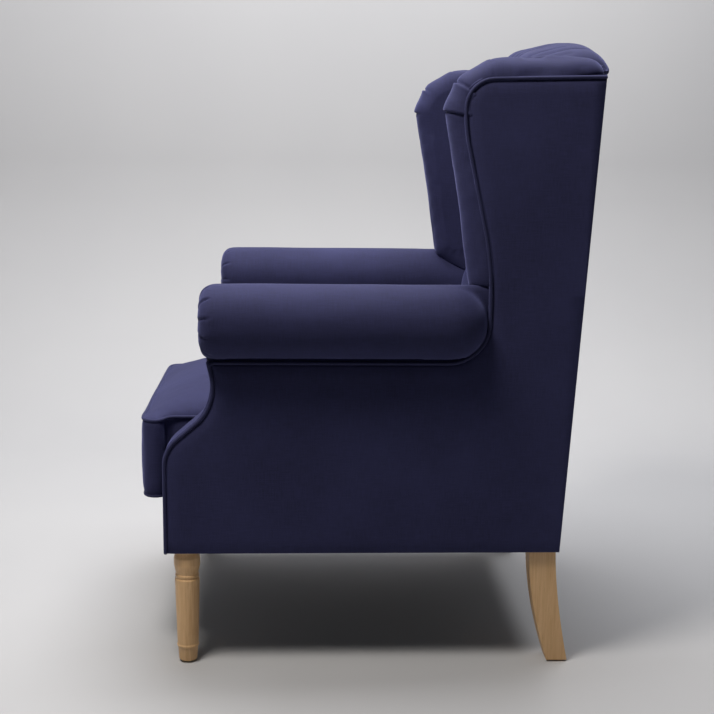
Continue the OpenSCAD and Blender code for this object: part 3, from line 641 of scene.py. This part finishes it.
front_run = even(section[:-2], mesh_step)
run = np.cumsum([0] + [(b - a).length for a, b in zip(front_run, front_run[1:])])
heights = [p.y for p in front_run]
crest_run = float(run[int(np.argmax(heights))])

seat_w = 2 * x_in
row_h = 0.1206
knob_low, knob_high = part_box("back_buttons")
z_row0 = (knob_low.z + knob_high.z - 3 * row_h) / 2
rising = len([d for d in run if d < crest_run])
buttons = []
for r in range(4):
    n = 3 if r % 2 == 0 else 4
    climb = float(np.interp(z_row0 + r * row_h, heights[:rising], run[:rising]))
    buttons.append([Vector(((k - (n - 1) / 2) * seat_w / 4, climb)) for k in range(n)])
folds = []
for lower, upper in zip(buttons, buttons[1:]):
    folds += [(a, b) for a in lower for b in upper if abs(a.x - b.x) < seat_w / 6]
folds += [(b, Vector((b.x, 0.0))) for b in buttons[0]]
for r in (1, 3):
    folds += [(b, Vector((math.copysign(back_w, b.x), b.y))) for b in (buttons[r][0], buttons[r][-1])]
pleats = [(b, Vector((b.x * 1.05, crest_run + 0.015))) for b in buttons[-1]]
pleats += [(Vector((b.x + shift, b.y + 0.05)), Vector((b.x * 1.05 + shift, crest_run - 0.02)))
           for b in buttons[-1] for shift in (-0.028, 0.028)]

columns = max(2, round(2 * back_w / mesh_step))
bm = bmesh.new()
bmesh.ops.create_grid(bm, x_segments=columns, y_segments=len(front_run) - 1, size=0.5)
grid = np.array([v.co[:] for v in bm.verts])
gx = grid[:, 0] * 2 * back_w
gs = np.clip(grid[:, 1] + 0.5, 0, 1) * run[-1]
dist, slit = np.full(len(gx), 1.0), np.full(len(gx), 1.0)
for a, b in folds:
    dist = np.minimum(dist, gap_to((a, b), gx, gs))
for a, b in pleats:
    far = gap_to((a, b), gx, gs)
    slit = np.minimum(slit, far * (1 + 2.5 * step_up((gs - a.y) / (b.y - a.y), 0.6, 1.0)))
knobs = [b for line in buttons for b in line]
knob_gap = np.full(len(gx), 1.0)
for b in knobs:
    knob_gap = np.minimum(knob_gap, np.hypot(gx - b.x, gs - b.y))
top_row = buttons[-1][0].y
tufted = step_up(gs, 0.0, 0.16) * (1 - step_up(gs, top_row + 0.02, top_row + 0.1))
pleated = step_up(gs, top_row - 0.01, top_row + 0.03) * (1 - step_up(gs, crest_run, crest_run + 0.03))
puff = -puff_high * np.exp(-(dist / 0.026) ** 2) * tufted - 0.006 * np.exp(-(dist / 0.005) ** 2) * tufted
puff -= 0.0035 * np.exp(-(slit / 0.014) ** 2) * pleated + 0.0045 * np.exp(-(slit / 0.0042) ** 2) * pleated
puff -= 0.011 * np.exp(-(knob_gap / 0.014) ** 2)
puff += 0.004
edge = np.clip((np.abs(gx) - (back_w - 0.030)) / 0.030, 0, 1)
puff -= 0.020 * (1 - np.sqrt(1 - edge ** 2 * 0.999))
base_y = np.interp(gs, run, [p.x for p in front_run])
base_z = np.interp(gs, run, heights)
tilt = np.gradient(np.array([[p.x, p.y] for p in front_run]), axis=0)
tilt /= np.linalg.norm(tilt, axis=1, keepdims=True)
out_y, out_z = -np.interp(gs, run, tilt[:, 1]), np.interp(gs, run, tilt[:, 0])
level = np.where(gs > crest_run, step_up(base_z, z_panel + 0.004, z_panel + 0.05),
                 step_up(base_z, z_panel - 0.14, z_panel + 0.03))
arch = arch_drop * (np.abs(gx) / arch_half) ** 2.2 * level
for v, x, y, z in zip(bm.verts, gx, base_y + out_y * puff, base_z + out_z * puff - arch):
    v.co = (x, y, z)
rim = [e for e in bm.edges if e.is_boundary]
grown = bmesh.ops.extrude_edge_only(bm, edges=rim)["geom"]
for v in [g for g in grown if isinstance(g, bmesh.types.BMVert)]:
    v.co.y = y_closed + (v.co.z - z_panel) * math.tan(rake)
bmesh.ops.holes_fill(bm, edges=[e for e in bm.edges if e.is_boundary], sides=0)
bmesh.ops.triangulate(bm, faces=[f for f in bm.faces if len(f.verts) > 4])
bmesh.ops.recalc_face_normals(bm, faces=bm.faces)
inside_back = to_object("inside_back", bm)
spots, ways = points_of(inside_back.data), normals_of(inside_back.data)
spots += ways * (0.0011 * ripple(spots, 0.05, 11))[:, None]
put_points(inside_back.data, spots)
cover(inside_back, ["back_cover", "back_foam"])

# Covered buttons: a domed metal shell wrapped in the same cloth, pulled in on a twine.
button_r = 0.0115
bm = bmesh.new()
for b in knobs:
    y = float(np.interp(b.y, run, [p.x for p in front_run]))
    z = float(np.interp(b.y, run, heights))
    made = bmesh.ops.create_uvsphere(bm, u_segments=24, v_segments=12, radius=button_r)["verts"]
    bmesh.ops.scale(bm, vec=(1, 0.46, 1), verts=made)
    bmesh.ops.rotate(bm, cent=(0, 0, 0), matrix=Matrix.Rotation(math.radians(-5), 3, "X"), verts=made)
    bmesh.ops.translate(bm, vec=(b.x, y + 0.0085, z), verts=made)
cover(to_object("covered_buttons", bm), ["back_buttons"])

# ---- Arms ----
# Each arm is a foam roll on a rail with the cloth drawn from the seat over the roll to the
# outside, pleated round the front end and tucked in against the wing.
arm_low, arm_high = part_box("arm_cover_right")
x_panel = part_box("side_panel_right")[0].x
x_out = panel_high.x
roll_r = 0.064
skin_gap = 0.0006
roll_x, roll_z = arm_high.x - roll_r, arm_high.z - roll_r
z_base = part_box("side_panel_right")[0].z
z_under = roll_z - roll_r - pipe_r - skin_gap
side_h = z_under - z_base
y_arm = y_base + 0.073
y_lip = y_arm + 0.0025
roll_front = y_arm - 0.011
roll_nose = 0.026


def back_at(z):
    """The outside back's plane, from the base to the top."""
    return back_low.y + back_t + (z - z_base) * math.tan(rake)


y_wing = back_at(z_base) - 0.133
y_wing_top = y_wing - 0.050
wing_h = z_panel - arm_high.z
roll_rear = y_wing - roll_r - pipe_r - skin_gap
x_wood = x_in + 0.027
arm_front = [(y_base, z_base, 0), (y_base, z_base + 0.548 * side_h, 0.165 * side_h),
             (y_base + 0.09125, z_base + 0.782 * side_h, 0.226 * side_h), (y_lip, z_under, 0.008)]
seam = arm_front + [(y_lip + 0.014, z_under, 0), (roll_rear - 0.004, z_under, 0),
                    (y_wing, z_under, roll_r + pipe_r + skin_gap),
                    (y_wing, arm_high.z + 0.10 * wing_h, 1.47 * wing_h),
                    (y_wing_top, z_panel - 0.245 * wing_h, 0.73 * wing_h),
                    (y_wing_top, z_panel - 0.006, 0.046), (back_at(z_panel), z_panel, 0)]


def inset(corners, amount):
    """Corners moved to the right of the way they run, with their radii changed to match."""
    spots = [Vector(c[:2]) for c in corners]
    ways = [(b - a).normalized() for a, b in zip(spots, spots[1:])]
    moved = []
    for k, (u, v, r) in enumerate(corners):
        m, n = (Vector((w.y, -w.x)) for w in (ways[max(k - 1, 0)], ways[min(k, len(ways) - 1)]))
        q = spots[k] + (m + n) * amount / (1 + m.dot(n))
        turn = m.cross(n)
        moved.append((q.x, q.y, max(r + math.copysign(amount, turn), 0.0006) if r else 0))
    return moved


def mirrored(piece):
    """Turns a finished right-hand piece into the left-hand one."""
    piece.data.transform(Matrix.Scale(-1, 4, (1, 0, 0)))
    piece.data.flip_normals()


def arm(side):
    """A roll with a rounded nose and rear, and a slab under it, joined into one padded skin."""
    bm = bmesh.new()
    profile = [Vector((0.0, roll_front, 0))]
    profile += [Vector((roll_r - roll_nose * (1 - math.sin(a)),
                        roll_front + roll_nose * (1 - math.cos(a)), 0))
                for a in [math.radians(9 * k) for k in range(0, 11)]]
    profile += [Vector((roll_r * math.cos(a), roll_rear + roll_r * math.sin(a), 0))
                for a in [math.radians(10 * k) for k in range(0, 9)]] + [Vector((0, roll_rear + roll_r, 0))]
    row = [bm.verts.new(p) for p in profile]
    edges = [bm.edges.new(pair) for pair in zip(row, row[1:])]
    bmesh.ops.spin(bm, geom=edges + row, cent=(0, 0, 0), axis=(0, 1, 0), angle=math.tau, steps=64,
                   use_merge=True)
    bmesh.ops.remove_doubles(bm, verts=bm.verts, dist=1e-5)
    rear_y = arm_high.y - 0.001
    stub = bmesh.ops.create_cone(bm, cap_ends=True, segments=64, radius1=roll_r, radius2=roll_r,
                                 depth=rear_y - roll_rear,
                                 matrix=Matrix.Translation((0, (rear_y + roll_rear) / 2, 0)) @
                                 Matrix.Rotation(math.pi / 2, 4, "X"))["verts"]
    for v in stub:
        v.co.x = min(max(v.co.x, x_in - roll_x), x_panel - skin_gap - roll_x)
    bmesh.ops.translate(bm, verts=bm.verts, vec=(roll_x, 0, roll_z))
    front = inset(arm_front[:3] + [(y_lip, z_under, 0), (y_lip, roll_z, 0)], 0.0088)
    front[0] = (front[0][0], arm_low.z, 0)
    slab = flat_face(bm, outline(front + [(rear_y, roll_z, 0), (rear_y - 0.012, arm_low.z, 0)]), x_in + 0.003)
    thick(bm, slab, (x_wood - x_in, 0, 0))
    bmesh.ops.recalc_face_normals(bm, faces=bm.faces)
    made = to_object("arm_" + side, bm)
    remesh(made, 0.005)
    smooth(made, 4)
    spots = points_of(made.data)
    free = step_up(spots[:, 2], roll_z - roll_r, roll_z)
    free *= 1 - step_up(spots[:, 1], roll_rear, roll_rear + 0.04)
    swell(made, 3.0, 0.003, 1 - free)
    bm = bmesh.new()
    bm.from_mesh(made.data)
    nose = [e for e in bm.edges
            if all(v.co.y < roll_front + 0.045 and v.co.z > z_under for v in e.verts)]
    bmesh.ops.subdivide_edges(bm, edges=nose, cuts=1, smooth=0.6, use_grid_fill=True)
    bmesh.ops.triangulate(bm, faces=[f for f in bm.faces if len(f.verts) > 4])
    bm.to_mesh(made.data)
    bm.free()
    spots, ways = points_of(made.data), normals_of(made.data)
    turn = np.arctan2(spots[:, 2] - roll_z, spots[:, 0] - roll_x)
    reach = np.hypot(spots[:, 2] - roll_z, spots[:, 0] - roll_x)
    on_end = (1 - step_up(spots[:, 1], roll_front + 0.010, roll_front + 0.024)) * step_up(reach, 0.015, 0.04)
    for k in range(11):  # pleats in the end of the roll, turned so that two notch its outline
        bend = (turn - math.radians(32.7 * k + 14) + math.pi) % math.tau - math.pi
        spots -= ways * (0.0026 * np.exp(-(bend * reach / 0.0022) ** 2) * on_end)[:, None]
        spots += ways * (0.0018 * np.exp(-bend * reach / 0.008) * (bend > 0) * (bend < 0.6) * on_end)[:, None]
    spots += ways * (0.0009 * ripple(spots * [1, 0.35, 1], 0.03, 22))[:, None]
    beside = (spots[:, 2] < roll_z - roll_r * 0.9) | (spots[:, 1] > roll_rear + roll_r * 0.97)
    spots[:, 0] = np.minimum(spots[:, 0], np.where(beside, x_panel, 9))
    put_points(made.data, spots)
    if SIDES[side] < 0:
        mirrored(made)
    cover(made, ["arm_cover_" + side, "arm_foam_" + side])


for side in SIDES:
    arm(side)

# ---- Wings ----
# A shaped board stands on the arm; padding and cloth wrap it from the inside face round its
# front and top edges to the piping on the outside, with two tucks at the top front corner.
wing_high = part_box("wing_pad_right")[1]
wing_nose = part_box("wing_pad_right")[0].y
y_high = back_at(z_panel)
wing_edge = [(y_wing + 0.030, roll_z, 0), (y_wing - 0.0335, arm_high.z - 0.006, 0.02),
             (wing_nose, z_panel - 0.045, 0.030), (wing_nose + 0.024, z_panel + 0.002, 0.020),
             (wing_nose + 0.074, wing_high.z - 0.002, 0.050), (y_high + 0.003, wing_high.z, 0.034),
             (y_high + 0.003, z_panel + 0.001, 0)]
wing_round = 0.026
# Each tuck runs out from the piping to the edge: two ends, which side lies on top, its height
tucks = [((0.166, 0.977), (0.128, 1.000), 1, 0.0034), ((0.160, 0.941), (0.113, 0.952), -1, 0.0034),
         ((0.191, 1.003), (0.189, 1.030), 1, 0.0007)]


def wing(side):
    """A padded block with a round front and top edge, tucked at its corner, sat on the roll."""
    bm = bmesh.new()
    shape = outline(wing_edge + [(y_high - 0.050, z_panel + 0.001, 0), (y_high - 0.052, z_panel - 0.02, 0),
                                 (back_at(roll_z) - 0.052, roll_z, 0)], 10)
    x_low, x_high = x_in + 0.001, x_out - 0.0045
    thick(bm, flat_face(bm, shape, x_low), (x_high - x_low, 0, 0))
    made = to_object("wing_" + side, bm)
    remesh(made, 0.0055)
    spots = points_of(made.data)
    rim = outline(wing_edge + [(y_high - 0.1, z_panel - 0.3, 0)], 10)[:-1]
    inner = np.clip(gap_to(rim, spots[:, 1], spots[:, 2]) / wing_round, 0, 1)
    half = (x_high - x_low) / 2
    mid = (x_high + x_low) / 2
    keep = (half - wing_round + wing_round * np.sqrt(1 - (1 - inner) ** 2)) / half
    beside_back = step_up(spots[:, 1], y_top - 0.03, y_top + 0.02) * (spots[:, 0] < mid)
    keep += (1 - keep) * beside_back
    spots[:, 0] = mid + (spots[:, 0] - mid) * keep
    put_points(made.data, spots)
    smooth(made, 3)
    spots = points_of(made.data)
    firm = 1 - step_up(spots[:, 2], roll_z, roll_z + 0.1)
    firm = np.clip(step_up(spots[:, 1], y_high - 0.05, y_high) + firm, 0, 1)
    swell(made, 3.0, 0.003, firm)
    finer(made)
    spots, ways = points_of(made.data), normals_of(made.data)
    outer = step_up(spots[:, 0], x_in + 0.004, x_in + 0.030)
    for a, b, over, height in tucks:
        way = Vector((b[0] - a[0], b[1] - a[1]))
        length = way.length
        way /= length
        t = (spots[:, 1] - a[0]) * way.x + (spots[:, 2] - a[1]) * way.y
        off = ((spots[:, 1] - a[0]) * way.y - (spots[:, 2] - a[1]) * way.x) * -over
        along = step_up(t, -0.004, 0.004) * (1 - step_up(t, length + 0.01, length + 0.03)) * outer * \
            (1 - step_up(off, 0.02, 0.03) * 0.4)
        spots -= ways * (0.9 * height * np.exp(-((off + 0.0012) / 0.0018) ** 2) * along)[:, None]
        spots += ways * (height * np.exp(-np.abs(off) / 0.012) * (off > 0) * along)[:, None]
    spots += ways * (0.0010 * ripple(spots, 0.045, 32))[:, None]
    reach = np.clip(roll_r ** 2 - (spots[:, 0] - roll_x) ** 2, 0, None)
    spots[:, 2] = np.maximum(spots[:, 2], roll_z + np.sqrt(reach) - 0.001)
    spots[:, 0] = np.maximum(spots[:, 0], x_in + 0.0003)
    put_points(made.data, spots)
    if SIDES[side] < 0:
        mirrored(made)
    cover(made, ["wing_pad_" + side])


for side in SIDES:
    wing(side)

# ---- Outside panels and piping ----
# Cloth stretched over thin padding closes the outside of the arm and wing as one panel. One
# piping cord is sewn round its edge, up the arm front, under the roll and round the wing.
# Steps of the panel's swelling, in millimetres: inset from the seam, inset from the plain
# edges, and height. The first two are the sewn allowance, which also runs up behind the roll.
panel_steps = [(-3.6, 0, 0.4), (-3.6, 0, 1.3), (3.2, 0, 1.9), (4.6, 0.2, 3.3), (7, 0.6, 4.7),
               (11, 1.2, 5.9), (17, 2, 7.1), (24, 3, 7.7)]
cut_step = 0.025


def side_panel(side):
    """The panel's rings bridged from the wood outwards, and the cord along its seam."""
    sign = SIDES[side]
    bm = bmesh.new()
    loops = []
    for step_in, plain_in, rise in panel_steps:
        line = inset(seam, step_in / 1000)
        line[4] = (max(line[4][0], line[3][0] + 0.012), line[4][1], 0)
        line[0] = (line[0][0], z_base + plain_in / 1000, 0)
        line[-1] = (y_high - plain_in / 1000, line[-1][1], 0)
        shape = outline([(back_at(z_base) - plain_in / 1000, z_base + plain_in / 1000, 0)] + line, 10)
        under = [0.007 * (step_in < 0 and y_lip + 0.01 < p.x < roll_rear and p.y > z_under) for p in shape]
        row = [bm.verts.new((x_panel + rise / 1000, p.x, p.y + up)) for p, up in zip(shape, under)]
        loops.append([bm.edges.new(pair) for pair in zip(row, row[1:] + row[:1])])
        if len(loops) > 1:
            bmesh.ops.bridge_loops(bm, edges=loops[-2] + loops[-1])
    bmesh.ops.contextual_create(bm, geom=loops[0])
    bmesh.ops.contextual_create(bm, geom=loops[-1])
    for k in range(1, 34):
        for way, spot in (((0, 1, 0), (0, y_base + cut_step * k, 0)),
                          ((0, 0, 1), (0, 0, z_base + cut_step * k))):
            bmesh.ops.bisect_plane(bm, geom=bm.verts[:] + bm.edges[:] + bm.faces[:], plane_co=spot,
                                   plane_no=way, dist=1e-6)
    bmesh.ops.triangulate(bm, faces=[f for f in bm.faces if len(f.verts) > 4])
    bmesh.ops.recalc_face_normals(bm, faces=bm.faces)
    made = to_object("side_panel_cloth_" + side, bm)
    spots = points_of(made.data)
    high = step_up(spots[:, 0], x_panel + 0.006, x_panel + 0.0077)
    spots[:, 0] += high * 0.0011 * ripple(spots, 0.16, 41)
    put_points(made.data, spots)
    if sign < 0:
        mirrored(made)
    cover(made, ["side_panel_" + side])
    path = outline([(back_at(z_base) - 0.4, z_base - 0.2, 0)] + seam, 12)
    path = [p for p in path if p.y >= z_base - 1e-6]
    cord = cord_along("side_cord_" + side,
                      [Vector((sign * (x_out - pipe_r + 0.0012), p.x, p.y)) for p in even(path, 0.008)],
                      pipe_r)
    cover(cord, ["side_piping_" + side], "root", navy_cord_shaded)


for side in SIDES:
    side_panel(side)

# ---- Arm fronts, front border and outside back ----
# A padded facing covers the front of each arm, a border covers the front rail below the
# cushion, and a stretched panel closes the back under its own piping cord.
facing_t, facing_puff = 0.0078, 0.0045


def facing(side):
    """The padded front of an arm, from the seat base up the scoop to the roll."""
    bm = bmesh.new()
    line = arm_front[:3] + [(y_lip, z_under, 0), (y_lip, roll_z - 0.02, 0)]
    shape = outline(inset(line, 0.0002) + list(reversed(inset(line, facing_t))), 8)
    thick(bm, flat_face(bm, shape, x_in + 0.0004), (x_panel + 0.0004 - x_in, 0, 0))
    made = to_object("arm_front_" + side, bm)
    remesh(made, 0.003)
    smooth(made, 1)
    spots, ways = points_of(made.data), normals_of(made.data)
    across = np.clip((spots[:, 0] - x_in) / (x_panel - x_in), 0, 1)
    spots[:, 1] -= facing_puff * (1 - (2 * across - 1) ** 4)
    spots += ways * (0.0007 * ripple(spots, 0.04, 61))[:, None]
    reach = np.clip((roll_r + 0.0008) ** 2 - (spots[:, 0] - roll_x) ** 2, 0, None)
    spots[:, 2] = np.minimum(spots[:, 2], roll_z - np.sqrt(reach))
    put_points(made.data, spots)
    if SIDES[side] < 0:
        mirrored(made)
    cover(made, ["arm_facing_" + side])


for side in SIDES:
    facing(side)


def panel(name, low, high, stands_for, shear=0.0, puff=0.0015):
    """A stretched cloth panel in the plane across Y, with a rounded rim and a slight swell."""
    bm = bmesh.new()
    bmesh.ops.create_cube(bm, size=1.0)
    bmesh.ops.scale(bm, vec=high - low, verts=bm.verts)
    bmesh.ops.translate(bm, vec=(low + high) / 2, verts=bm.verts)
    bmesh.ops.bevel(bm, geom=bm.edges[:], offset=0.002, segments=3, profile=0.5, affect="EDGES", material=-1)
    for k in range(1, 60):
        for way, spot in (((1, 0, 0), (low.x + 0.02 * k, 0, 0)), ((0, 0, 1), (0, 0, low.z + 0.02 * k))):
            bmesh.ops.bisect_plane(bm, geom=bm.verts[:] + bm.edges[:] + bm.faces[:], plane_co=spot,
                                   plane_no=way, dist=1e-6)
    made = to_object(name, bm)
    spots = points_of(made.data)
    u = np.clip((spots[:, 0] - low.x) / (high.x - low.x), 0, 1)
    v = np.clip((spots[:, 2] - low.z) / (high.z - low.z), 0, 1)
    rise = puff * np.clip(16 * u * (1 - u) * v * (1 - v), 0, 1) + 0.0006 * ripple(spots, 0.15, 51)
    mid = (low.y + high.y) / 2
    side_of = np.sign(spots[:, 1] - mid)
    visible = side_of > 0 if shear else side_of < 0
    spots[:, 1] += np.where(visible, side_of * rise * np.clip(8 * v, 0, 1), 0)
    spots[:, 1] += (spots[:, 2] - low.z) * shear
    put_points(made.data, spots)
    return cover(made, stands_for)


border_low, border_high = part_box("front_border")
panel("front_border_cloth", border_low, border_high, ["front_border"])
panel("outside_back_cloth", back_low, Vector((back_high.x, back_low.y + back_t, back_high.z)),
      ["outside_back"], math.tan(rake), 0.003)
cord_low, cord_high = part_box("back_piping")
cord_mid = (cord_low + cord_high) / 2
cord = cord_along("back_cord", even([Vector((cord_low.x - 0.003, cord_mid.y, cord_mid.z)),
                                     Vector((cord_high.x + 0.003, cord_mid.y, cord_mid.z))], 0.02), pipe_r)
cover(cord, ["back_piping"], "root", navy_cord_shaded)
panel("seat_deck_cloth", *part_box("seat_deck"), ["seat_deck"])
